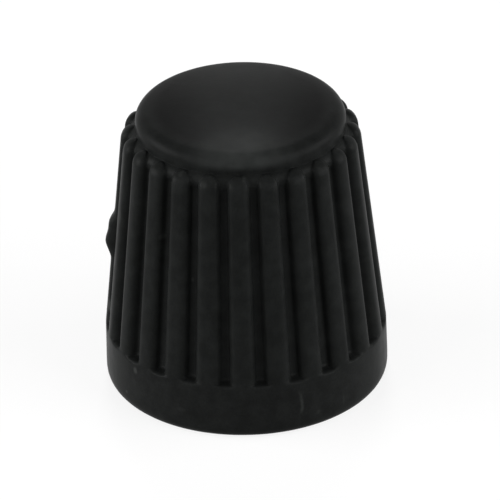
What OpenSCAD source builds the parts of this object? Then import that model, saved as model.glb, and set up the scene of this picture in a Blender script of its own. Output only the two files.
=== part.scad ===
// Dust cap for a tyre valve, moulded in one piece of black plastic.
// Stands on its open mouth. Origin at the middle of the mouth, +Z up through the crown.
// All sizes in millimetres and degrees.

/* [Collar] */
// Diameter over the foot, the widest part
foot_d = 10.6; // [10:0.1:13]
// Rounding of the foot's outer edge
foot_round = 0.46; // [0.2:0.02:0.6]
// Height of the plain collar, up to the closed ends of the grooves
collar_h = 2.2; // [1.6:0.1:3.2]
// Diameter at the top of the collar
collar_top_d = 10.54; // [10:0.02:12]
// How far the collar stands proud of the ribs at their foot
collar_step = 0.02; // [0.02:0.01:0.2]

/* [Grip] */
// Height at which the grip begins to round in towards the crown
grip_top_z = 9.92; // [9:0.02:11]
// Diameter over the ribs at that height
grip_top_d = 8.86; // [8.7:0.02:10]
// Rounding of the shoulder between grip and crown
shoulder_round = 0.65; // [0.5:0.05:0.8]
// Number of ribs
rib_count = 24; // [18:1:26]
// Turn of the nearest rib from the front, towards the right
rib_turn = -2; // [-7.5:0.5:7.5]
// Width of a rib where it leaves the collar
rib_foot_w = 0.9; // [0.7:0.02:1]
// Width of a rib at its rounded tip
rib_tip_w = 0.76; // [0.6:0.02:0.86]
// Radius of a rib's rounded back
rib_back_r = 0.7; // [0.55:0.05:1.5]
// Depth of the grooves between the ribs
groove_depth = 0.38; // [0.25:0.01:0.42]
// Space between a rib's tip and the crown
tip_gap = 0.08; // [0.02:0.01:0.2]

/* [Crown] */
// Height of the whole cap
cap_h = 11.48; // [11.2:0.02:13]
// Diameter of the crown
crown_d = 7.78; // [7.6:0.02:8]
// Rounding of the crown's edge
crown_round = 0.53; // [0.3:0.01:0.6]
// How far the crown's domed top falls from its middle to its edge
crown_fall = 0.38; // [0.2:0.02:0.5]

/* [Thread bore] */
// Bore at the root of the thread, clear of a valve stem 7.7 mm across
bore_d = 7.86; // [7.8:0.02:7.9]
// Depth of the bore at that diameter, from the mouth
bore_depth = 7.1; // [5.5:0.1:7.2]
// Diameter of the lead-in at the mouth
mouth_d = 8.4; // [8:0.1:9]
// Depth of the lead-in
mouth_depth = 0.5; // [0.3:0.1:0.8]
// Slope of the lead-in and of the step at the far end of the bore
step_angle = 45; // [30:5:60]

/* [Seal] */
// Diameter of the flat roof that the valve stem's rim meets
roof_d = 6.9; // [6.6:0.1:7.2]
// Diameter of the sealing ring on that roof
ring_d = 5.6; // [5.2:0.1:6]
// Width of the sealing ring at its root
ring_w = 0.6; // [0.4:0.05:0.8]
// Height of the sealing ring
ring_h = 0.3; // [0.15:0.05:0.5]
// Diameter of the hollow over the valve's pin
pin_hollow_d = 3.6; // [3:0.1:4]
// Depth of the hollow over the valve's pin
pin_hollow_depth = 1.3; // [0.8:0.1:1.6]

/* [Gate mark] */
// Turn of the torn gate mark from the front, towards the right
gate_turn = -92; // [-180:1:180]
// Height of the middle of the gate mark
gate_z = 5.9; // [4:0.1:7.5]
// Height of the gate mark from end to end
gate_h = 1.84; // [1:0.02:2.4]
// Width of the gate mark
gate_w = 0.7; // [0.4:0.05:0.9]
// How far its flat stub stands out from the ribs
gate_stub = 0.19; // [0.08:0.01:0.25]
// How far its torn lip stands out from the ribs
gate_lip = 0.28; // [0.1:0.01:0.35]

/* [Hidden] */
$fn = 96;

foot_r = foot_d / 2;
collar_top_r = collar_top_d / 2;
crown_r = crown_d / 2;
bore_r = bore_d / 2;

// Radius over the rib backs at the collar
rib_foot_r = collar_top_r - collar_step;
// Lean of the ribs towards the axis, and of the collar's side
taper = atan((rib_foot_r - grip_top_d / 2) / (grip_top_z - collar_h));
collar_lean = atan((foot_r - collar_top_r) / collar_h);
// Top of the rounded shoulder, where the crown rises out of the grip
shoulder_z = grip_top_z + shoulder_round * (1 - sin(taper));

// Sphere of the domed top, and the lean of its face where the rounded edge begins
dome_r = (crown_r * crown_r + crown_fall * crown_fall) / (2 * crown_fall);
dome_z = cap_h - dome_r;
dome_lean = asin((crown_r - crown_round) / (dome_r - crown_round));

// Roof of the bore
roof_z = bore_depth + (bore_r - roof_d / 2) / tan(step_angle);

// How far a rounding runs into the faces beside it, so that the two cross cleanly
blend = 0.004;
// How far a rib is sunk into the grip that carries it, and into the collar at its foot
sink = 0.2;
foot_sink = 0.05;
// Longer and wider than anything on the cap
reach = foot_d;

function unit(angle) = [cos(angle), sin(angle)];

// Radius of the grip over the rib backs at height z
function grip_r(z) = rib_foot_r - (z - collar_h) * tan(taper);

// Distance of a point of the half section up the ribs, from the top of the collar
function along_rib(r, z) = (z - collar_h) * cos(taper) - (r - rib_foot_r) * sin(taper);

// What a rounding takes off, about its own centre: all that lies outside the arc from one face to the other
module outside_arc(radius, from, to) {
    difference() {
        polygon([[0, 0], reach * unit(from), 2 * reach * unit((from + to) / 2), reach * unit(to)]);
        circle(r = radius);
    }
}

// Takes off the corner at which two straight faces meet, whose outward normals point at the two angles
module round_corner(corner, radius, from, to) {
    inset = radius - blend;
    centre = corner - inset * (unit(from) + unit(to)) / (1 + unit(from) * unit(to));
    translate(centre) outside_arc(radius, from, to);
}

// Half section of the grip over the rib backs, or with an inset over the groove floors
module grip_section(inset = 0) {
    floor_r = inset / cos(taper);
    top_z = shoulder_z - inset;
    difference() {
        polygon([
            [0, 0],
            [grip_r(0) - floor_r, 0],
            [grip_r(top_z) - floor_r, top_z],
            [0, top_z]
        ]);
        round_corner([grip_r(top_z) - floor_r, top_z], shoulder_round - inset, taper, 90);
    }
}

// Half section of the collar, with the rounded foot
module collar_section() {
    difference() {
        polygon([[0, 0], [foot_r, 0], [collar_top_r, collar_h], [0, collar_h]]);
        round_corner([foot_r, 0], foot_round, -90, collar_lean);
    }
}

// Half section of the crown: a straight side, a rounded edge and a shallow dome
module crown_section() {
    inset = crown_round - blend;
    edge_r = crown_r - inset;
    edge_z = dome_z + sqrt(pow(dome_r - inset, 2) - edge_r * edge_r);
    difference() {
        intersection() {
            translate([0, collar_h]) square([crown_r, reach]);
            translate([0, dome_z]) circle(r = dome_r, $fn = 180);
        }
        translate([edge_r, edge_z]) outside_arc(crown_round, 0, 90 - dome_lean);
    }
}

// Half section of the space inside: lead-in, thread bore, step, roof with its sealing ring, hollow over the pin
module cavity_section() {
    mouth_step = (mouth_d / 2 - bore_r) / tan(step_angle);
    pin_r = pin_hollow_d / 2;
    pin_roof_z = roof_z + pin_hollow_depth;
    pin_chamfer = pin_r / 3;
    difference() {
        polygon([
            [0, -sink],
            [mouth_d / 2, -sink],
            [mouth_d / 2, mouth_depth],
            [bore_r, mouth_depth + mouth_step],
            [bore_r, bore_depth],
            [roof_d / 2, roof_z],
            [pin_r, roof_z],
            [pin_r, pin_roof_z - pin_chamfer],
            [pin_r - pin_chamfer, pin_roof_z],
            [0, pin_roof_z]
        ]);
        translate([ring_d / 2, roof_z]) polygon([
            [-ring_w / 2, sink],
            [-ring_w / 2, 0],
            [-ring_w / 6, -ring_h],
            [ring_w / 6, -ring_h],
            [ring_w / 2, 0],
            [ring_w / 2, sink]
        ]);
    }
}

// The round body without its ribs: collar, groove floors and crown
module body() {
    rotate_extrude() {
        collar_section();
        intersection() {
            grip_section(inset = groove_depth);
            translate([0, collar_h - sink]) square([reach, reach]);
        }
        crown_section();
    }
}

// Seen from outside: a bar that narrows upwards to a rounded tip just short of the crown
module rib_outline() {
    tip_r = rib_tip_w / 2;
    tip_y = along_rib(crown_r, shoulder_z) - tip_gap - tip_r;
    foot_x = rib_foot_w / 2;
    polygon([[-foot_x, -foot_sink], [foot_x, -foot_sink], [tip_r, tip_y], [-tip_r, tip_y]]);
    translate([0, tip_y]) circle(r = tip_r, $fn = 48);
}

// One rib at the front: its outline carried inwards to its root, under a rounded back.
// The back stands a little proud, so that taper and shoulder of the grip trim a narrow flat along it.
module rib() {
    back_proud = 0.03;
    rib_l = along_rib(crown_r, shoulder_z);
    intersection() {
        rotate_extrude() grip_section();
        translate([0, -rib_foot_r, collar_h]) rotate([-taper, 0, 0]) intersection() {
            translate([0, groove_depth + sink, 0]) rotate([90, 0, 0])
                linear_extrude(height = groove_depth + 2 * sink) rib_outline();
            translate([0, rib_back_r - back_proud, -2 * sink])
                cylinder(r = rib_back_r, h = rib_l + 4 * sink, $fn = 64);
        }
    }
}

// Torn gate on one rib: a flat stub with a lip hanging below it
module gate_mark() {
    top_z = gate_z + gate_h / 2;
    low_z = gate_z - gate_h / 2;
    lip_z = gate_z - gate_h * 0.16;
    rotate([0, 0, gate_turn]) translate([gate_w / 2, 0, 0]) rotate([90, 0, -90])
        linear_extrude(height = gate_w) polygon([
            [grip_r(top_z) - sink, top_z],
            [grip_r(top_z), top_z],
            [grip_r(top_z) + gate_stub, top_z - gate_h / 5],
            [grip_r(gate_z) + gate_stub, gate_z + gate_h * 0.07],
            [grip_r(lip_z) + gate_lip, lip_z],
            [grip_r(low_z), low_z],
            [grip_r(low_z) - sink, low_z]
        ]);
}

module cap() {
    color([0.11, 0.115, 0.115]) difference() {
        union() {
            body();
            for (i = [0 : rib_count - 1]) rotate([0, 0, rib_turn + i * 360 / rib_count]) rib();
            gate_mark();
        }
        rotate_extrude() cavity_section();
    }
}

cap();
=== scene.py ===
"""Looks of a black moulded tyre valve cap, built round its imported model: skin, thread, plastic, stage and camera."""

from math import acos, asin, atan, atan2, cos, degrees, pi, radians, sin, sqrt, tan

import bpy
from mathutils import Euler, Matrix, Vector


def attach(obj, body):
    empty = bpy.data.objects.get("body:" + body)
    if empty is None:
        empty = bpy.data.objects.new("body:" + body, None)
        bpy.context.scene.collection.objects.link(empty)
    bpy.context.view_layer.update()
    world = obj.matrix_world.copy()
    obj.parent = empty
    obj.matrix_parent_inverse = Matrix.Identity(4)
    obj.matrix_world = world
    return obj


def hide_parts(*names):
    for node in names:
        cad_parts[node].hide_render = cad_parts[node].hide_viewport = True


bl_info = {
    "name": "Tyre valve cap",
    "version": (1, 0, 0),
    "blender": (4, 5, 0),
    "location": "3D View > Sidebar > Valve cap",
    "description": "Models the ribbed skin and the thread of a moulded valve cap, its plastic, and a plain stage",
    "category": "Object",
}

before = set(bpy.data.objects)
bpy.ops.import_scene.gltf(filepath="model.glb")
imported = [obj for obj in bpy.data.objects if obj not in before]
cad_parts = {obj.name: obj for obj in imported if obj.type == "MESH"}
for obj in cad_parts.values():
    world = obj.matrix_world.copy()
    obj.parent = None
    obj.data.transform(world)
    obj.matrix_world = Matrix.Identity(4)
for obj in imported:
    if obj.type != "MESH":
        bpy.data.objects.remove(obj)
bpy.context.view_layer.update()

MM = 0.001
SLOT = "black_plastic"
# Degrees that one rib and its two half grooves take up
SECTOR = 15.0
# Points nearer than this are one
DOUBLES = 0.002 * MM


# --- Sizes and colours that a user would change ---


def length(name, description, default):
    """A length property whose default is given in millimetres."""
    return bpy.props.FloatProperty(
        name=name, description=description, default=default * MM, min=0.0, unit="LENGTH", precision=5
    )


def angle(name, description, default):
    """An angle property whose default is given in degrees."""
    return bpy.props.FloatProperty(name=name, description=description, default=radians(default), subtype="ANGLE")


def factor(name, description, default):
    """A property between 0 and 1."""
    return bpy.props.FloatProperty(
        name=name, description=description, default=default, min=0.0, max=1.0, subtype="FACTOR"
    )


def tint(name, description, default):
    """A colour property."""
    return bpy.props.FloatVectorProperty(
        name=name, description=description, default=default, size=3, subtype="COLOR", min=0.0, max=1.0
    )


def brightness(name, description, default):
    """A lamp's brightness, where 1 is that of white paper in plain light."""
    return bpy.props.FloatProperty(name=name, description=description, default=default, min=0.0)


class CapSizes(bpy.types.PropertyGroup):
    """The cap's sizes, those of its solid model, a few of them a little larger because smoothing draws the net in."""

    foot_r: length("Foot radius", "Radius over the foot, the widest part", 5.3)
    foot_round: length("Foot rounding", "Rounding of the foot's outer edge", 0.46)
    collar_h: length("Collar height", "Height at which the grooves end", 2.24)
    collar_top_r: length("Collar top radius", "Radius of the collar at its top", 5.27)
    rib_foot_r: length("Rib foot radius", "Radius over the rib backs at the collar", 5.27)
    grip_top_z: length("Grip top height", "Height at which the grip begins to round in", 9.92)
    grip_top_r: length("Grip top radius", "Radius over the rib backs at that height", 4.46)
    shoulder_round: length("Shoulder rounding", "Rounding between grip and crown", 0.65)
    groove_depth: length("Groove depth", "Depth of the grooves between the ribs", 0.38)
    tip_r: length("Tip rounding", "Half the width of a rib's rounded tip", 0.38)
    tip_length: length("Tip length", "Length over which a rib's tip rounds off", 0.49)
    tip_gap: length("Tip gap", "Space between a rib's tip and the crown", 0.02)
    back_r: length("Rib back rounding", "Radius of a rib's rounded back", 0.7)
    crown_r: length("Crown radius", "Radius of the crown's straight side", 3.91)
    crown_round: length("Crown rounding", "Rounding of the crown's edge", 0.53)
    crown_fall: length("Crown fall", "Fall of the domed top from its middle to its edge", 0.38)
    cap_h: length("Cap height", "Height of the whole cap", 11.48)
    mouth_r: length("Mouth radius", "Radius of the lead-in at the mouth", 4.2)
    bore_r: length("Bore radius", "Radius of the bore at the root of the thread", 3.93)
    bore_depth: length("Bore depth", "Depth of the bore from the mouth", 7.1)
    thread_crest_r: length("Thread crest radius", "Radius at the crest of the thread", 3.52)
    thread_pitch: length("Thread pitch", "Rise of the thread in one turn", 0.794)
    rib_turn: angle("Rib turn", "Turn of the nearest rib from the front, towards the right", -2.0)


class CapPlastic(bpy.types.PropertyGroup):
    """Colours and finish of the black plastic."""

    colour: tint("Colour", "Colour of the clean plastic", (0.0086, 0.0092, 0.0089))
    scuff: tint("Scuffs", "Colour of the scratch and the specks", (0.09, 0.095, 0.09))
    roughness: factor("Roughness", "Roughness of the clean plastic", 0.36)
    gloss: factor("Gloss", "Strength of the plastic's reflections", 0.018)


class StageSettings(bpy.types.PropertyGroup):
    """Camera, lamps and floor."""

    distance: length("Camera distance", "Distance of the camera from the cap", 233.7)
    elevation: angle("Camera height", "Angle of the camera above the floor", 29.46)
    roll: angle("Camera roll", "Turn of the camera about its line of sight", -1.6)
    left_light: brightness("Left lamp", "Brightness of the wide lamp on the left", 9.6)
    right_light: brightness("Right lamp", "Brightness of the wide lamp on the right", 6.4)
    front_left: brightness("Front left lamp", "Brightness of the wide lamp in front on the left", 3.2)
    front_right: brightness("Front right lamp", "Brightness of the wide lamp in front on the right", 4.6)
    front_light: brightness("Front lamp", "Brightness of the wide lamp in front", 1.0)
    back_strip: brightness("Back strip", "Brightness of the narrow lamp behind and above the cap", 8.2)
    back_light: brightness("Back lamp", "Brightness of the wide lamp low behind the cap", 0.2)
    lamp_distance: length("Lamp distance", "Distance of the lamps from the cap", 300.0)
    floor_size: length("Floor size", "Side of the square floor", 1600.0)


# --- Selecting and moving in edit mode ---


def deselect_all():
    """Leaves nothing selected, so that an operator acts only on what it is given."""
    if bpy.context.object and bpy.context.object.mode != "OBJECT":
        bpy.ops.object.mode_set(mode="OBJECT")
    bpy.ops.object.select_all(action="DESELECT")


def make_active(obj):
    """Selects one object alone."""
    deselect_all()
    obj.select_set(True)
    bpy.context.view_layer.objects.active = obj


def pick(obj, test, kind="VERT"):
    """Selects, in edit mode, the vertices, edges or faces that pass the test."""
    bpy.ops.mesh.select_mode(type=kind)
    bpy.ops.mesh.select_all(action="DESELECT")
    bpy.ops.object.mode_set(mode="OBJECT")
    mesh = obj.data
    items = {"VERT": mesh.vertices, "EDGE": mesh.edges, "FACE": mesh.polygons}[kind]
    for item in items:
        item.select = test(item)
    bpy.ops.object.mode_set(mode="EDIT")


def pick_open_edges():
    """Selects, in edit mode, the edges where the surface is open."""
    bpy.ops.mesh.select_mode(type="EDGE")
    bpy.ops.mesh.select_all(action="DESELECT")
    bpy.ops.mesh.select_non_manifold(extend=False, use_wire=False, use_multi_face=False, use_non_contiguous=False)


def draw_profile(name, points, turn=0.0):
    """Starts a mesh from one point of a half section and extrudes it along the others. Leaves it in edit mode."""
    places = [Vector((r * sin(turn), -r * cos(turn), z)) for r, z in points]
    deselect_all()
    bpy.ops.mesh.primitive_plane_add(size=MM, location=(0, 0, 0))
    obj = bpy.context.object
    obj.name = obj.data.name = name
    bpy.ops.object.mode_set(mode="EDIT")
    bpy.ops.mesh.select_mode(type="VERT")
    bpy.ops.mesh.select_all(action="SELECT")
    bpy.ops.mesh.merge(type="CENTER")
    bpy.ops.transform.translate(value=places[0])
    for here, there in zip(places, places[1:]):
        bpy.ops.mesh.extrude_vertices_move(TRANSFORM_OT_translate={"value": there - here})
    bpy.ops.mesh.select_all(action="SELECT")
    return obj


def turn_about_axis(sweep, steps=1):
    """Spins what is selected about the cap's axis, towards the right as seen from the front."""
    bpy.ops.mesh.spin(steps=steps, angle=-sweep, center=(0, 0, 0), axis=(0, 0, 1))


def close_up(obj, gap=DOUBLES):
    """Merges doubled points, turns the faces outwards and ends in object mode."""
    bpy.ops.mesh.select_all(action="SELECT")
    bpy.ops.mesh.remove_doubles(threshold=gap)
    bpy.ops.mesh.normals_make_consistent(inside=False)
    bpy.ops.object.mode_set(mode="OBJECT")
    make_active(obj)
    bpy.ops.object.shade_smooth()


# --- The half section of the skin ---

# Columns of one sector: degrees from the middle of a rib, and how deep the column lies under the rib's back,
# where 1 is the floor of the groove
COLUMNS = (
    (0.0, 0.0),
    (2.3, 0.01),
    (4.0, 0.17),
    (4.95, 0.45),
    (5.5, 0.88),
    (6.1, 1.0),
    (7.5, 1.0),
)
# The columns up to this turn belong to the rib and narrow with it, and this one marks its edge
RIB_TURN_MAX = 6
RIB_EDGE = 4.95
# Columns shallower than this are the rib's back and sides
WALL_SHARE = 0.86

# Torn gate on one rib: height and how far it stands out, in millimetres
GATE = ((4.97, 0.0), (5.61, 0.28), (6.03, 0.19), (6.43, 0.19), (6.81, 0.0))

# Rows of the net: millimetres of the foot's flat inside its rounding, degrees of the rounding, heights in
# millimetres on the collar and up the ribs, denser over the gate, and shares of a rib's tip and of the domed top
FOOT_FLATS = (0.34, 0.08)
FOOT_LEANS = (-86, -66, -44, -22, 0)
COLLAR_HEIGHTS = (0.8, 1.4, 1.9)
# The collar's last two rows lie this far under its top, in millimetres, and keep its edge sharp
COLLAR_ENDS = (0.1, 0.02)
RIB_HEIGHTS = (
    *(2.26, 2.36, 2.9, 3.8, 4.75),
    *(4.97, 5.2, 5.42, 5.61, 5.82, 6.03, 6.24, 6.43, 6.62, 6.81),
    *(7.05, 7.8, 8.6, 9.2, 9.65),
)
TIP_SHARES = (0.0, 0.2, 0.4, 0.58, 0.74, 0.87, 0.96, 0.992)
EDGE_STEPS = 6
DOME_SHARES = (0.9, 0.72, 0.5, 0.28, 0.1)

# Power of the curve that rounds a tip off, where 2 is an ellipse
TIP_FULLNESS = 2.6
# Share of its depth that a groove loses on the shoulder, and the share of the quarter turn that it takes
RUN_OUT = 0.8
RUN_OUT_SPAN = 0.8
# How far the nose of a tip sinks, and how much is trimmed off a rib's rounded back
NOSE = 0.05 * MM
BACK_TRIM = 0.03 * MM
# The crease at the foot of the crown: the last groove floor ends this far outside the crown, the row after it lies
# this far outside and above, narrowed to this share, and the crown begins this far above the floor's end
FLOOR_END_OUT = 0.015 * MM
CREASE_OUT, CREASE_UP, CREASE_NARROW = 0.012 * MM, 0.005 * MM, 0.3
CROWN_UP = 0.03 * MM


class Grip:
    """Places on the cap's half section that follow from its sizes."""

    def __init__(self, s):
        self.s = s
        self.taper = atan((s.rib_foot_r - s.grip_top_r) / (s.grip_top_z - s.collar_h))
        self.arc_z = s.grip_top_z - s.shoulder_round * sin(self.taper)
        self.arc_r = self.back_r(self.arc_z) - s.shoulder_round / cos(self.taper)
        crease = self.shoulder(self.lean_at(s.crown_r))
        self.tip_at = self.along(*crease) - s.tip_gap - s.tip_length

    def back_r(self, z):
        """Radius over the rib backs at height z."""
        return self.s.rib_foot_r - (z - self.s.collar_h) * tan(self.taper)

    def along(self, r, z):
        """Distance up a rib, as the straight line of its back measures it."""
        return (z - self.s.collar_h) * cos(self.taper) - (r - self.s.rib_foot_r) * sin(self.taper)

    def shoulder(self, lean, depth=0.0):
        """A place on the shoulder's arc, or at a depth under it."""
        radius = self.s.shoulder_round - depth
        return self.arc_r + radius * cos(lean), self.arc_z + radius * sin(lean)

    def lean_at(self, r, depth=0.0):
        """Where the shoulder's arc, or the arc at a depth under it, reaches a radius."""
        return acos((r - self.arc_r) / (self.s.shoulder_round - depth))

    def tip_leans(self, shares):
        """Places on the shoulder's arc from the root of a rib's tip to its end, by their share of the tip."""
        middle = self.along(self.arc_r, self.arc_z)
        rises = [(self.tip_at + share * self.s.tip_length - middle) / self.s.shoulder_round for share in shares]
        return [asin(min(1.0, rise)) + self.taper for rise in rises]

    def tip_half_width(self, r, z):
        """Half the width of a rib, which rounds off at its tip, a little fuller than an ellipse."""
        past = max(0.0, self.along(r, z) - self.tip_at)
        return self.s.tip_r * sqrt(max(0.0, 1 - (past / self.s.tip_length) ** TIP_FULLNESS))

    def depth_at(self, lean):
        """Depth of a groove on the shoulder, where it runs out towards the crown."""
        share = max(0.0, lean - self.taper) / (pi / 2 - self.taper)
        return self.s.groove_depth * (1 - RUN_OUT * min(1.0, share / RUN_OUT_SPAN))


class Row:
    """One row of the skin's net: its place over a rib and in a groove, the depth between the two, how much the rib
    narrows there, and how far its nose sinks."""

    def __init__(self, back, groove=None, deep=0.0, narrow=1.0, nose=0.0):
        self.back, self.groove, self.deep, self.narrow, self.nose = back, groove, deep, narrow, nose


def collar_rows(s):
    """Rows of the flat of the foot, its rounding and the plain collar."""
    rows = [Row((s.foot_r - s.foot_round - flat * MM, 0.0)) for flat in FOOT_FLATS]
    for lean in FOOT_LEANS:
        a = radians(lean)
        rows.append(Row((s.foot_r - s.foot_round * (1 - cos(a)), s.foot_round * (1 + sin(a)))))
    for z in [z * MM for z in COLLAR_HEIGHTS] + [s.collar_h - end * MM for end in COLLAR_ENDS]:
        share = (z - s.foot_round) / (s.collar_h - s.foot_round)
        rows.append(Row((s.foot_r + (s.collar_top_r - s.foot_r) * share, z)))
    return rows


def rib_rows(s, g):
    """Rows over the ribs and grooves, up to the foot of the crown."""
    depth = s.groove_depth / cos(g.taper)
    rows = []
    for z in RIB_HEIGHTS:
        r = g.back_r(z * MM)
        rows.append(Row((r, z * MM), (r - depth, z * MM), s.groove_depth))
    tip_leans = g.tip_leans(TIP_SHARES)
    shallow = g.depth_at(tip_leans[-1])
    floor_last = g.lean_at(s.crown_r + FLOOR_END_OUT, shallow)
    # two rows lead from the straight backs to the tips
    for lean in [radians(7), tip_leans[0] * 0.6] + tip_leans:
        back = g.shoulder(lean)
        past = (lean - tip_leans[0]) / (tip_leans[-1] - tip_leans[0])
        floor_lean = lean if past < 0 else tip_leans[0] + past * (floor_last - tip_leans[0])
        deep = g.depth_at(lean)
        groove = g.shoulder(floor_lean, deep)
        nominal = back[0] * sin(radians(RIB_EDGE))
        narrow = g.tip_half_width(*back) / nominal if past > 0 else 1.0
        rows.append(Row(back, groove, deep, narrow, NOSE * max(0.0, past) ** 4))
    foot_z = g.shoulder(floor_last, shallow)[1]
    rows.append(Row((s.crown_r + CREASE_OUT, foot_z + CREASE_UP), narrow=CREASE_NARROW))
    return rows, foot_z


def crown_rows(s, foot_z):
    """Rows of the crown's straight side, rounded edge and shallow dome."""
    dome_r = (s.crown_r**2 + s.crown_fall**2) / (2 * s.crown_fall)
    dome_z = s.cap_h - dome_r
    dome_lean = asin((s.crown_r - s.crown_round) / (dome_r - s.crown_round))
    edge_r = s.crown_r - s.crown_round
    edge_z = dome_z + (dome_r - s.crown_round) * cos(dome_lean)
    rows = [Row((s.crown_r, foot_z + CROWN_UP)), Row((s.crown_r, (foot_z + edge_z) / 2))]
    for k in range(EDGE_STEPS + 1):
        a = (pi / 2 - dome_lean) * k / EDGE_STEPS
        rows.append(Row((edge_r + s.crown_round * cos(a), edge_z + s.crown_round * sin(a))))
    for share in DOME_SHARES:
        a = dome_lean * share
        rows.append(Row((dome_r * sin(a), dome_z + dome_r * cos(a))))
    return rows


def skin_rows(s):
    """The rows of the skin's net, from the flat of the foot to the middle of the crown."""
    ribs, foot_z = rib_rows(s, Grip(s))
    return collar_rows(s) + ribs + crown_rows(s, foot_z)


def between(table, x):
    """Straight-line value of a table of pairs."""
    for (x0, y0), (x1, y1) in zip(table, table[1:]):
        if x0 <= x <= x1:
            return y0 + (y1 - y0) * (x - x0) / (x1 - x0)
    return 0.0


def lead(point):
    """Radius and turn from the front, towards the right, of a place."""
    return point.xy.length, atan2(point.x, -point.y)


class VALVECAP_OT_skin(bpy.types.Operator):
    """Models one rib with half a groove on each side, repeats it round the axis and closes the inside"""

    bl_idname = "valve_cap.skin"
    bl_label = "Cap skin"

    def execute(self, context):
        s = context.scene.cap_sizes
        rows = skin_rows(s)
        skin = self.sector(s, rows)
        self.repeat(skin)
        self.raise_gate(skin, s, rows)
        smooth = skin.modifiers.new("round", "SUBSURF")
        smooth.levels = smooth.render_levels = 1
        bpy.ops.object.modifier_apply(modifier=smooth.name)
        self.close_crown(skin, s)
        inside = self.inside(s)
        self.join(skin, inside)
        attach(skin, "root")
        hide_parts("cap")
        return {"FINISHED"}

    def sector(self, s, rows):
        """A net over one rib, its grooves pressed in row by row."""
        skin = draw_profile("cap_skin", [row.back for row in rows], turn=radians(-SECTOR / 2))
        turns = [-a for a, _ in reversed(COLUMNS)] + [a for a, _ in COLUMNS[1:]]
        for here, there in zip(turns, turns[1:]):
            turn_about_axis(radians(there - here))
        bpy.ops.object.mode_set(mode="OBJECT")
        net = self.net_of(skin, rows)
        bpy.ops.object.mode_set(mode="EDIT")
        for k, row in enumerate(rows):
            if row.narrow != 1.0:
                for column, (turn, _) in enumerate(COLUMNS[:-1]):
                    narrow = row.narrow if turn < RIB_TURN_MAX else (1 + row.narrow) / 2
                    self.shift(skin, net[(k, column)], (narrow, 1, 1))
            if not row.groove:
                continue
            for column, (turn, share) in enumerate(COLUMNS):
                part = self.part_of_depth(s, row, turn, share)
                r = row.back[0] + (row.groove[0] - row.back[0]) * part
                z = row.back[1] + (row.groove[1] - row.back[1]) * part
                inwards = r / row.back[0]
                self.shift(skin, net[(k, column)], (inwards, inwards, 1), z - row.back[1])
        return skin

    def net_of(self, skin, rows):
        """The points at each row and column of the sector, by their nearest row and turn."""
        net = {}
        for index, vertex in enumerate(skin.data.vertices):
            r, turn = lead(vertex.co)
            row = min(range(len(rows)), key=lambda k: abs(rows[k].back[0] - r) + abs(rows[k].back[1] - vertex.co.z))
            column = min(range(len(COLUMNS)), key=lambda k: abs(COLUMNS[k][0] - abs(degrees(turn))))
            net.setdefault((row, column), set()).add(index)
        return net

    def part_of_depth(self, s, row, turn, share):
        """How far down between rib's back and groove a point lies, from its column and the back's rounding."""
        if share == 1.0:
            return 1.0
        half = row.back[0] * sin(radians(turn)) * (row.narrow if turn < RIB_TURN_MAX else 1.0)
        drop = max(0.0, s.back_r - sqrt(s.back_r**2 - min(half, s.back_r) ** 2) - BACK_TRIM)
        depth = max(drop, share * row.deep) + row.nose * (share < WALL_SHARE)
        return min(1.0, depth / row.deep)

    def shift(self, obj, chosen, factors, rise=0.0):
        """Scales the chosen points about the axis and lifts them."""
        pick(obj, lambda v: v.index in chosen)
        bpy.ops.transform.resize(value=factors, center_override=(0, 0, 0))
        if rise:
            bpy.ops.transform.translate(value=(0, 0, rise))

    def repeat(self, skin):
        """Repeats the sector round the axis and merges the seams."""
        deselect_all()
        bpy.ops.object.empty_add(location=(0, 0, 0), rotation=(0, 0, radians(SECTOR)))
        pitch = bpy.context.object
        make_active(skin)
        ring = skin.modifiers.new("ring", "ARRAY")
        ring.count = round(360 / SECTOR)
        ring.use_relative_offset, ring.use_object_offset = False, True
        ring.offset_object = pitch
        bpy.ops.object.modifier_apply(modifier=ring.name)
        bpy.data.objects.remove(pitch)
        bpy.ops.object.mode_set(mode="EDIT")
        bpy.ops.mesh.select_all(action="SELECT")
        turn = -bpy.context.scene.cap_sizes.rib_turn
        bpy.ops.transform.rotate(value=turn, orient_axis="Z", center_override=(0, 0, 0))
        close_up(skin)

    def raise_gate(self, skin, s, rows):
        """Pulls the torn gate out of the back of one rib."""
        turn = s.rib_turn - radians(6 * SECTOR)
        outwards = Vector((sin(turn), -cos(turn), 0))
        bpy.ops.object.mode_set(mode="EDIT")
        for height in sorted({round(row.back[1] / MM, 2) for row in rows}):
            out = between(GATE, height) * MM
            if not out:
                continue
            # the middle of the rib's back moves the whole way, the degrees beside it most of it
            for near, far, share in ((0.0, 2.5, 1.0), (2.5, 4.2, 0.8)):

                def on_gate(v):
                    level = abs(v.co.z - height * MM) < 0.01 * MM
                    return level and near <= degrees(abs(lead(v.co)[1] - turn)) < far

                pick(skin, on_gate)
                bpy.ops.transform.translate(value=outwards * out * share)
        bpy.ops.object.mode_set(mode="OBJECT")

    def close_crown(self, skin, s):
        """Draws the rim left in the middle of the crown together."""
        rim_r, rim_z = skin_rows(s)[-1].back
        bpy.ops.object.mode_set(mode="EDIT")

        def on_rim(edge):
            ends = [skin.data.vertices[v].co for v in edge.vertices]
            return all(end.z > s.collar_h and end.xy.length < 1.3 * rim_r for end in ends)

        pick(skin, on_rim, kind="EDGE")
        bpy.ops.mesh.extrude_edges_move()
        bpy.ops.mesh.merge(type="CENTER")
        bpy.ops.transform.translate(value=(0, 0, s.cap_h - rim_z))
        bpy.ops.object.mode_set(mode="OBJECT")

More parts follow.
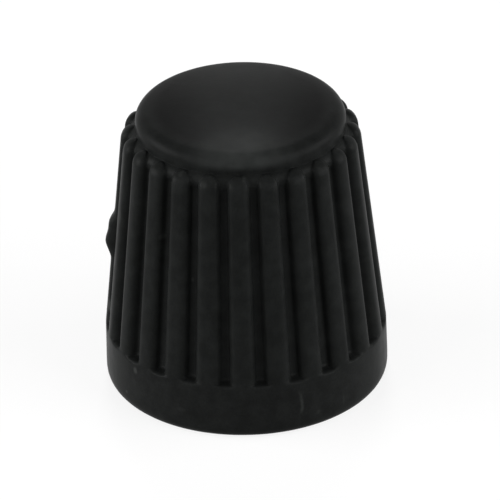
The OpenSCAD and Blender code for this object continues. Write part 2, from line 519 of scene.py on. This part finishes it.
    def inside(self, s):
        """Lead-in, bore, roof with its sealing ring, and the hollow over the valve's pin."""
        lead_in = 0.5 * MM
        roof_r = 3.45 * MM
        roof_z = s.bore_depth + s.bore_r - roof_r
        ring_r, ring_half, ring_h = 2.8 * MM, 0.3 * MM, 0.3 * MM
        pin_r, pin_h, pin_chamfer = 1.8 * MM, 1.3 * MM, 0.6 * MM
        points = [
            (s.mouth_r, 0.0),
            (s.mouth_r, lead_in),
            (s.bore_r, lead_in + (s.mouth_r - s.bore_r)),
            (s.bore_r, s.bore_depth),
            (roof_r, roof_z),
            (ring_r + ring_half, roof_z),
            (ring_r + ring_half / 3, roof_z - ring_h),
            (ring_r - ring_half / 3, roof_z - ring_h),
            (ring_r - ring_half, roof_z),
            (pin_r, roof_z),
            (pin_r, roof_z + pin_h - pin_chamfer),
            (pin_r - pin_chamfer, roof_z + pin_h),
            (0.0, roof_z + pin_h),
        ]
        inside = draw_profile("inside", points)
        turn_about_axis(2 * pi, steps=144)
        bpy.ops.mesh.select_all(action="SELECT")
        bpy.ops.mesh.remove_doubles(threshold=DOUBLES)
        bpy.ops.mesh.select_all(action="DESELECT")
        bpy.ops.mesh.select_mode(type="EDGE")
        bpy.ops.mesh.edges_select_sharp(sharpness=radians(30))
        bpy.ops.mesh.bevel(offset=0.05 * MM, segments=3, affect="EDGES")
        bpy.ops.object.mode_set(mode="OBJECT")
        return inside

    def join(self, skin, inside):
        """Makes one closed shell of the skin and the inside, across the flat of the foot.

        The last merge reaches only true doubles: the points at the tips lie close, and a wider one wouldn't take
        the same ones each time.
        """
        deselect_all()
        inside.select_set(True)
        skin.select_set(True)
        bpy.context.view_layer.objects.active = skin
        bpy.ops.object.join()
        bpy.ops.object.mode_set(mode="EDIT")
        pick_open_edges()
        bpy.ops.mesh.bridge_edge_loops()
        close_up(skin, gap=0.0001 * MM)


class VALVECAP_OT_thread(bpy.types.Operator):
    """Models the ridge of the thread, wound round the bore and run out at both ends"""

    bl_idname = "valve_cap.thread"
    bl_label = "Thread"

    def execute(self, context):
        s = context.scene.cap_sizes
        low = 0.95 * MM
        turns = 7
        # radius and half the width of the ridge, from its root, sunk in the wall, to its crest
        side = [
            (s.bore_r + 0.06 * MM, 0.33 * MM),
            (s.bore_r - 0.02 * MM, 0.27 * MM),
            (s.thread_crest_r + 0.04 * MM, 0.07 * MM),
            (s.thread_crest_r, 0.03 * MM),
        ]
        points = [(r, low - half) for r, half in side] + [(r, low + half) for r, half in reversed(side)]
        thread = draw_profile("thread", points)
        bpy.ops.mesh.edge_face_add()
        bpy.ops.mesh.select_all(action="SELECT")
        bpy.ops.mesh.delete(type="ONLY_FACE")
        bpy.ops.object.mode_set(mode="OBJECT")
        wind = thread.modifiers.new("wind", "SCREW")
        wind.axis, wind.angle, wind.iterations = "Z", 2 * pi, turns
        wind.screw_offset = s.thread_pitch
        wind.steps = wind.render_steps = 72
        wind.use_merge_vertices = False
        bpy.ops.object.modifier_apply(modifier=wind.name)
        self.run_out(thread, s, low, turns)
        bpy.ops.object.mode_set(mode="EDIT")
        pick_open_edges()
        bpy.ops.mesh.edge_face_add()
        close_up(thread)
        bpy.ops.object.shade_smooth_by_angle(angle=radians(50))
        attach(thread, "root")
        return {"FINISHED"}

    def run_out(self, thread, s, low, turns, span=0.5, steps=8, grow=1.016):
        """Sinks the last half turn of the ridge, at both ends, step by step into the wall."""

        def wound(point):
            """Turns from the start of the ridge."""
            share = lead(point)[1] / (2 * pi) % 1
            return share + round((point.z - low) / s.thread_pitch - share)

        bpy.ops.object.mode_set(mode="EDIT")
        for k in range(steps):
            here = span * (steps - k) / steps

            def near_end(v):
                at = wound(v.co)
                return v.co.xy.length < s.bore_r - 0.01 * MM and (at < here or at > turns - here)

            pick(thread, near_end)
            bpy.ops.transform.resize(value=(grow, grow, 1), center_override=(0, 0, 0))
        bpy.ops.object.mode_set(mode="OBJECT")


# --- Shader sockets as Python values ---


class Wire:
    """A shader socket with arithmetic, so that masks are written as expressions."""

    def __init__(self, tree, socket):
        self.tree, self.socket = tree, socket

    def node(self, kind, settings=None, inputs=None, output=0):
        """Adds a node, sets it up, gives its sockets values or links, and returns one output."""
        made = self.tree.nodes.new(kind)
        for key, value in (settings or {}).items():
            setattr(made, key, value)
        for key, value in (inputs or {}).items():
            socket = made.inputs[key]
            if isinstance(value, Wire):
                self.tree.links.new(value.socket, socket)
            else:
                socket.default_value = value
        return Wire(self.tree, made.outputs[output])

    def sum(self, operation, *values):
        """A Math node."""
        return self.node("ShaderNodeMath", {"operation": operation}, dict(enumerate(values)))

    def __add__(self, other):
        return self.sum("ADD", self, other)

    def __sub__(self, other):
        return self.sum("SUBTRACT", self, other)

    def __rsub__(self, other):
        return self.sum("SUBTRACT", other, self)

    def __mul__(self, other):
        return self.sum("MULTIPLY", self, other)

    def __truediv__(self, other):
        return self.sum("DIVIDE", self, other)

    __radd__ = __add__

    def abs(self):
        return self.sum("ABSOLUTE", self)

    def root(self):
        """Square root, taking what is below 0 as 0."""
        return self.sum("SQRT", self.sum("MAXIMUM", self, 0.0))

    def most(self, other):
        """The larger of two values."""
        return self.sum("MAXIMUM", self, other)

    def between(self, low, high, soft):
        """1 between low and high, falling to 0 over a soft edge."""
        return self.ramp(low - soft, low) * (1 - self.ramp(high, high + soft))

    def ramp(self, low, high):
        """0 below low, 1 above high, smooth in between."""
        inputs = {"Value": self, 1: low, 2: high, 3: 0.0, 4: 1.0}
        return self.node("ShaderNodeMapRange", {"interpolation_type": "SMOOTHSTEP"}, inputs)

    def noise(self, scale, detail=2.0, rough=0.5):
        """Noise in real units: scale is in turns a metre."""
        inputs = {"Vector": self, "Scale": scale, "Detail": detail, "Roughness": rough}
        return self.node("ShaderNodeTexNoise", inputs=inputs)

    def mix(self, share, other):
        """A blend of two colours."""
        return self.node("ShaderNodeMix", {"data_type": "RGBA"}, {0: share, 6: self, 7: other}, output=2)

    def feed(self, shader, name):
        """Links the value to one of a shader's sockets."""
        self.tree.links.new(self.socket, shader.inputs[name])


def new_material(name):
    """A node material with its shader, and a wire to start from."""
    material = bpy.data.materials.new(name)
    material.use_nodes = True
    shader = material.node_tree.nodes["Principled BSDF"]
    return material, shader, Wire(material.node_tree, shader.outputs[0])


# Specks and rubbed spots: turn in degrees, height, half width and half height in millimetres, strength
SPECKS = (
    (-52.2, 1.90, 0.12, 0.17, 0.24),
    (-58.8, 0.71, 0.08, 0.08, 0.2),
    (-78.8, 0.55, 0.06, 0.08, 0.4),
    (29.3, 0.73, 0.12, 0.11, 0.06),
    (42.0, 0.81, 0.07, 0.25, 0.05),
    (-28.0, 1.02, 0.22, 0.12, 0.05),
    (-88.0, 2.96, 0.14, 0.3, 0.3),
    (-75.1, 7.36, 0.1, 0.35, 0.12),
    (-41.8, 7.62, 0.1, 0.14, 0.12),
    (-25.3, 6.19, 0.08, 0.12, 0.12),
    (-18.4, 10.17, 0.14, 0.12, 0.08),
    (1.1, 10.35, 0.12, 0.1, 0.08),
    (-32.2, 10.35, 0.14, 0.1, 0.08),
)
# Radius at which their widths are measured, in millimetres
MARKED_R = 5.2

BLACK = (0.0, 0.0, 0.0, 1.0)
WHITE = (1.0, 1.0, 1.0, 1.0)


def times(colour, level):
    """A colour made lighter or darker, with its alpha."""
    return (*(c * level for c in colour), 1.0)


class VALVECAP_OT_plastic(bpy.types.Operator):
    """Gives the cap its matt moulded plastic with a scratch and specks, a painted highlight and painted shade on the
    crown, and painted shade in its corners
    """

    bl_idname = "valve_cap.plastic"
    bl_label = "Plastic"

    def execute(self, context):
        look = context.scene.cap_plastic
        material, shader, wire = new_material(SLOT)
        place = wire.node("ShaderNodeTexCoord", output=3)
        split = wire.node("ShaderNodeSeparateXYZ", inputs={0: place}).socket.node
        x, y, z = (Wire(wire.tree, split.outputs[k]) / MM for k in range(3))
        turn = wire.sum("ARCTAN2", x, 0 - y)
        radius = wire.sum("SQRT", x * x + y * y)
        mottle = place.noise(1700.0, 4.0, 0.6)
        grain = place.noise(14000.0, 2.0, 0.6)
        bore_r = context.scene.cap_sizes.bore_r / MM
        marks = self.marks(place, turn, z) * radius.ramp(bore_r + 0.01, bore_r + 0.05)
        base = wire.node("ShaderNodeRGB")
        base.socket.default_value = (*look.colour, 1.0)
        colour = base.mix(mottle * 1.4 + grain * 0.7 - 0.85, times(look.colour, 2.0))
        # painted shade on the crown's left and right side
        colour = colour.mix(self.painted_flank_shade(x, z, radius), BLACK)
        # painted shade at the closed ends of the grooves and in the crease at the crown's foot
        colour = colour.mix(self.corners(radius, z), BLACK)
        # painted highlight on the front of the crown
        colour = colour.mix(self.painted_crown_highlight(place, x, y, z), times(look.colour, 3.4))
        colour.mix(marks, (*look.scuff, 1.0)).feed(shader, "Base Color")
        (look.roughness - 0.14 + mottle * 0.28 + marks * 0.15).feed(shader, "Roughness")
        relief = {"Strength": 0.25, "Distance": 0.01 * MM, "Height": grain + mottle * 2.0 + marks}
        wire.node("ShaderNodeBump", inputs=relief).feed(shader, "Normal")
        shader.inputs["Specular IOR Level"].default_value = look.gloss
        for name in ("cap_skin", "thread"):
            mesh = bpy.data.objects[name].data
            mesh.materials.clear()
            mesh.materials.append(material)
        return {"FINISHED"}

    def painted_flank_shade(self, x, z, radius):
        """Mask of painted shade on the crown's left and right side, darker than its middle, standing in for the
        shading of a more domed top.
        """
        inner = 1 - radius.ramp(2.9, 3.5) * 0.7
        return x.abs().ramp(0.5, 3.0) * inner * z.ramp(10.45, 10.7) * 0.8

    def corners(self, r, z):
        """Mask of painted shade in the corners: the closed ends of the grooves and the crease at the foot of the
        crown.
        """
        ends = z.between(2.24, 2.3, 0.04) * (1 - r.ramp(5.18, 5.25))
        foot = z.between(10.36, 10.52, 0.1) * (1 - r.ramp(3.96, 4.08))
        return ends * 0.32 + foot * 0.2

    def painted_crown_highlight(self, place, x, y, z):
        """Mask of a painted highlight on the front of the crown: lighter, patchy plastic in place of the light's
        bright spot there.
        """
        patchy = place.noise(1500.0, 3.0, 0.6).ramp(0.2, 0.8) * 0.5 + 0.5
        across, along = x / 2.2, (y + 3.7) / 2.1
        away = (across * across + along * along).root()
        return (1 - away.ramp(0.15, 1.1)) * z.ramp(10.56, 10.82) * patchy * 0.95

    def marks(self, place, turn, z):
        """Mask of the curved scratch on the collar and of the specks."""
        rise = z - 1.2
        waver = (place.noise(1500.0, 2.0) - 0.5) * 1.4
        off = (turn * degrees(1) - 22.2 + rise * rise * 3.0 + waver).abs()
        fade = place.noise(2600.0, 2.0, 0.6).ramp(0.25, 0.7) * 0.6 + 0.4
        marks = (1 - off.ramp(0.0, 1.15)) * z.between(1.05, 1.6, 0.3) * fade * 0.2
        ragged = (place.noise(4000.0, 2.0) - 0.5) * 0.8
        for at, level, wide, tall, strength in SPECKS:
            across = (turn - radians(at)) * (MARKED_R / wide)
            up = (z - level) / tall
            away = (across * across + up * up + ragged).root()
            marks = marks.most((1 - away.ramp(0.3, 1.2)) * strength)
        return marks


# Lamps: name, turn from the front towards the right and height in degrees, width and length in metres, and the
# setting that holds the brightness
LAMPS = (
    ("left", -90, 8, 0.2, 0.2, "left_light"),
    ("right", 90, 8, 0.2, 0.2, "right_light"),
    ("front left", -55, 20, 0.2, 0.2, "front_left"),
    ("front right", 55, 20, 0.2, 0.2, "front_right"),
    ("front", 0, 35, 0.2, 0.2, "front_light"),
    ("back", 180, 12, 0.2, 0.2, "back_light"),
    ("back strip", 180, 52, 0.06, 0.12, "back_strip"),
)
LAMPS_AIM = Vector((0, 0, 6 * MM))

# The photograph's lens and place, in its pixels: side of the picture, distance of the lens, shift of the middle
PICTURE_PX = 500
FOCAL_PX = 6255
SHIFT_PX = Vector((6.02, -4.86, 0))
CAMERA_AIM = Vector((0, 0, 5.3 * MM))

# The floor lies just under the foot. What it and the world give as light, and what the floor adds where the camera
# sees it, directly or mirrored
FLOOR_Z = -0.01 * MM
FLOOR_GREY = 0.24
FLOOR_SEEN = 0.8
WORLD_LIGHT = 0.07


class VALVECAP_OT_stage(bpy.types.Operator):
    """Sets the floor, the lamps, the world and the camera"""

    bl_idname = "valve_cap.stage"
    bl_label = "Stage"

    def execute(self, context):
        stage = context.scene.cap_stage
        self.floor(stage)
        self.lamps(stage)
        self.world()
        self.camera(context.scene, stage)
        context.scene.view_settings.view_transform = "Standard"
        return {"FINISHED"}

    def floor(self, stage):
        """A floor that looks white, takes the cap's shadow and throws little light."""
        deselect_all()
        bpy.ops.mesh.primitive_plane_add(size=stage.floor_size, location=(0, 0, FLOOR_Z))
        floor = bpy.context.object
        floor.name = "floor"
        material, shader, wire = new_material("pale_floor")
        shader.inputs["Base Color"].default_value = (FLOOR_GREY, FLOOR_GREY, FLOOR_GREY, 1.0)
        shader.inputs["Roughness"].default_value = 0.9
        shader.inputs["Specular IOR Level"].default_value = 0.0
        shader.inputs["Emission Color"].default_value = WHITE
        (self.seen(wire) * FLOOR_SEEN).feed(shader, "Emission Strength")
        floor.data.materials.append(material)

    def seen(self, wire):
        """1 for what the camera sees, directly or in a reflection."""
        path = wire.node("ShaderNodeLightPath").socket.node
        camera, glossy, through = (
            Wire(wire.tree, path.outputs[name]) for name in ("Is Camera Ray", "Is Glossy Ray", "Is Transmission Ray")
        )
        return camera.most(glossy).most(through)

    def lamps(self, stage):
        """Flat lamps on a sphere round the cap, turned towards it."""
        for name, turn, height, width, long, setting in LAMPS:
            a, e = radians(turn), radians(height)
            away = Vector((sin(a) * cos(e), -cos(a) * cos(e), sin(e)))
            deselect_all()
            bpy.ops.object.light_add(type="AREA", location=away * stage.lamp_distance)
            lamp = bpy.context.object
            lamp.name = name
            lamp.data.shape = "RECTANGLE"
            lamp.data.size, lamp.data.size_y = width, long
            lamp.data.energy = getattr(stage, setting) * width * long * pi
            back = away * stage.lamp_distance - LAMPS_AIM
            lamp.rotation_euler = back.to_track_quat("Z", "Y").to_euler()

    def world(self):
        """A world that looks white and gives a faint even light."""
        world = bpy.data.worlds.new("studio")
        bpy.context.scene.world = world
        world.use_nodes = True
        back = world.node_tree.nodes["Background"]
        wire = Wire(world.node_tree, back.outputs[0])
        back.inputs["Color"].default_value = WHITE
        (WORLD_LIGHT + self.seen(wire) * (1 - WORLD_LIGHT)).feed(back, "Strength")

    def camera(self, scene, stage):
        """Puts the camera where the photograph was taken from."""
        deselect_all()
        bpy.ops.object.camera_add()
        camera = bpy.context.object
        camera.name = "camera"
        e = stage.elevation
        aim = Euler((pi / 2 - e, 0, 0)).to_matrix() @ Matrix.Rotation(stage.roll, 3, "Z")
        away = Vector((0, -cos(e), sin(e))) * stage.distance
        camera.location = CAMERA_AIM + away + aim @ (SHIFT_PX * (stage.distance / FOCAL_PX))
        camera.rotation_euler = aim.to_euler()
        camera.data.sensor_width = 36.0
        camera.data.lens = FOCAL_PX / PICTURE_PX * camera.data.sensor_width
        camera.data.clip_start = 0.01
        camera.data.clip_end = 10.0
        scene.camera = camera


class VALVECAP_PT_panel(bpy.types.Panel):
    """Lists the steps that build the valve cap"""

    bl_label = "Valve cap"
    bl_space_type = "VIEW_3D"
    bl_region_type = "UI"
    bl_category = "Valve cap"

    def draw(self, context):
        layout = self.layout
        for group, steps in (
            (context.scene.cap_sizes, (VALVECAP_OT_skin, VALVECAP_OT_thread)),
            (context.scene.cap_plastic, (VALVECAP_OT_plastic,)),
            (context.scene.cap_stage, (VALVECAP_OT_stage,)),
        ):
            for name in group.__annotations__:
                layout.prop(group, name)
            for step in steps:
                layout.operator(step.bl_idname)


CLASSES = (
    CapSizes,
    CapPlastic,
    StageSettings,
    VALVECAP_OT_skin,
    VALVECAP_OT_thread,
    VALVECAP_OT_plastic,
    VALVECAP_OT_stage,
    VALVECAP_PT_panel,
)


def register():
    for cls in CLASSES:
        bpy.utils.register_class(cls)
    bpy.types.Scene.cap_sizes = bpy.props.PointerProperty(type=CapSizes)
    bpy.types.Scene.cap_plastic = bpy.props.PointerProperty(type=CapPlastic)
    bpy.types.Scene.cap_stage = bpy.props.PointerProperty(type=StageSettings)


def unregister():
    del bpy.types.Scene.cap_sizes, bpy.types.Scene.cap_plastic, bpy.types.Scene.cap_stage
    for cls in reversed(CLASSES):
        bpy.utils.unregister_class(cls)


def main():
    """Builds the pieces in order."""
    register()
    bpy.ops.valve_cap.skin()
    bpy.ops.valve_cap.thread()
    bpy.ops.valve_cap.plastic()
    bpy.ops.valve_cap.stage()


if __name__ == "__main__":
    main()
